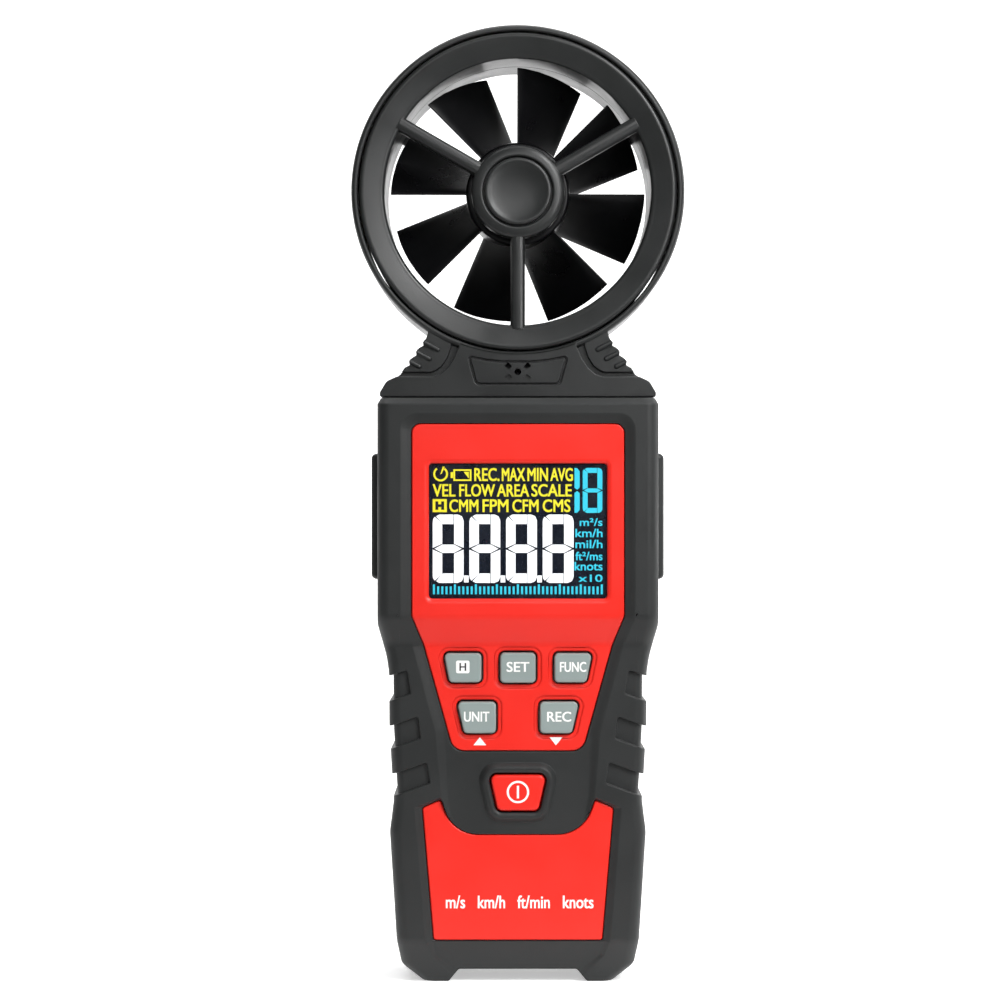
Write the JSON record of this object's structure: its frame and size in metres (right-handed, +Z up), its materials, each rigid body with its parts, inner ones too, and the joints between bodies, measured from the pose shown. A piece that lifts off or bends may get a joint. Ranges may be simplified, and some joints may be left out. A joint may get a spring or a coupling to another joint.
{
  "type": "vane anemometer",
  "caption": "Handheld vane anemometer: ducted multi-blade rotor head on a ribbed neck, red body in a black rubber jacket, display window, keys and a battery door.",
  "frame": {"origin": "centre of the overall box at its base, the plane of the two feet", "axes": "+Z up the instrument from the feet to the vane head, +X to the viewer's right, -Y out of the display and into the air stream"},
  "size_m": [0.0746, 0.0356, 0.2147],
  "materials": {
    "red_plastic": "fine satin moulded red ABS",
    "soft_rubber": "matt soft-touch overmould",
    "black_plastic": "satin moulded black ABS",
    "vane_plastic": "smooth glossy black moulding",
    "key_rubber": "matt grey silicone",
    "lens_acrylic": "polished dark acrylic",
    "lcd_glass": "polished glass",
    "white_plastic": "white diffuser",
    "circuit_board": "green solder mask",
    "component_black": "moulded epoxy",
    "sensor_bead": "dipped epoxy bead",
    "lead_sleeve": "flexible sleeve",
    "steel": "plated steel",
    "magnet_nickel": "nickel-plated magnet",
    "cell_sleeve": "printed sleeve over the cell's can"
  },
  "bodies": {
    "housing": {"battery_1": "cell_sleeve", "battery_2": "cell_sleeve", "battery_3": "cell_sleeve", "battery_contact_1": "steel", "battery_contact_2": "steel", "battery_contact_3": "steel", "battery_spring_1": "steel", "battery_spring_2": "steel", "battery_spring_3": "steel", "bearing_front": "steel", "bearing_rear": "steel", "buzzer": "component_black", "case_screw_1": "steel", "case_screw_2": "steel", "case_screw_3": "steel", "case_screw_4": "steel", "display_lens": "lens_acrylic", "front_case": "red_plastic", "front_jacket": "soft_rubber", "hall_sensor": "component_black", "head_screw_left": "steel", "head_screw_right": "steel", "head_shell_front": "black_plastic", "head_shell_rear": "black_plastic", "hub_cap_front": "black_plastic", "hub_cap_rear": "black_plastic", "keypad_mat": "soft_rubber", "lcd_backlight": "white_plastic", "lcd_panel": "lcd_glass", "main_board": "circuit_board", "rear_case": "black_plastic", "rear_jacket": "soft_rubber", "sensor_board": "circuit_board", "sensor_lead": "lead_sleeve", "side_rail_left": "soft_rubber", "side_rail_right": "soft_rubber", "switch_function": "component_black", "switch_hold": "component_black", "switch_power": "component_black", "switch_record": "component_black", "switch_set": "component_black", "switch_unit": "component_black", "thermistor": "sensor_bead", "vane_guard_front": "black_plastic", "vane_guard_rear": "black_plastic"},
    "vane_rotor": {"rotor": "vane_plastic", "rotor_shaft": "steel", "rotor_magnet": "magnet_nickel"},
    "battery_cover": {"battery_door": "black_plastic", "battery_door_screw": "steel"},
    "button_hold": {"key_hold": "key_rubber"},
    "button_set": {"key_set": "key_rubber"},
    "button_function": {"key_function": "key_rubber"},
    "button_unit": {"key_unit": "key_rubber"},
    "button_record": {"key_record": "key_rubber"},
    "button_power": {"key_power": "red_plastic"}
  },
  "joints": [
    {"name": "rotor_spin", "type": "hinge", "parent": "housing", "child": "vane_rotor", "pos_m": [0, 0, 0.1773], "axis": [0, 1, 0], "continuous": true},
    {"name": "hold_press", "type": "slide", "parent": "housing", "child": "button_hold", "axis": [0, 1, 0], "range_m": [0, 0.0008], "stiffness_N_per_m": 400},
    {"name": "set_press", "type": "slide", "parent": "housing", "child": "button_set", "axis": [0, 1, 0], "range_m": [0, 0.0008], "stiffness_N_per_m": 400},
    {"name": "function_press", "type": "slide", "parent": "housing", "child": "button_function", "axis": [0, 1, 0], "range_m": [0, 0.0008], "stiffness_N_per_m": 400},
    {"name": "unit_press", "type": "slide", "parent": "housing", "child": "button_unit", "axis": [0, 1, 0], "range_m": [0, 0.0008], "stiffness_N_per_m": 400},
    {"name": "record_press", "type": "slide", "parent": "housing", "child": "button_record", "axis": [0, 1, 0], "range_m": [0, 0.0008], "stiffness_N_per_m": 400},
    {"name": "power_press", "type": "slide", "parent": "housing", "child": "button_power", "axis": [0, 1, 0], "range_m": [0, 0.0008], "stiffness_N_per_m": 400},
    {"name": "battery_door_lift", "type": "slide", "parent": "housing", "child": "battery_cover", "axis": [0, 1, 0], "range_m": [0, 0.03]}
  ]
}
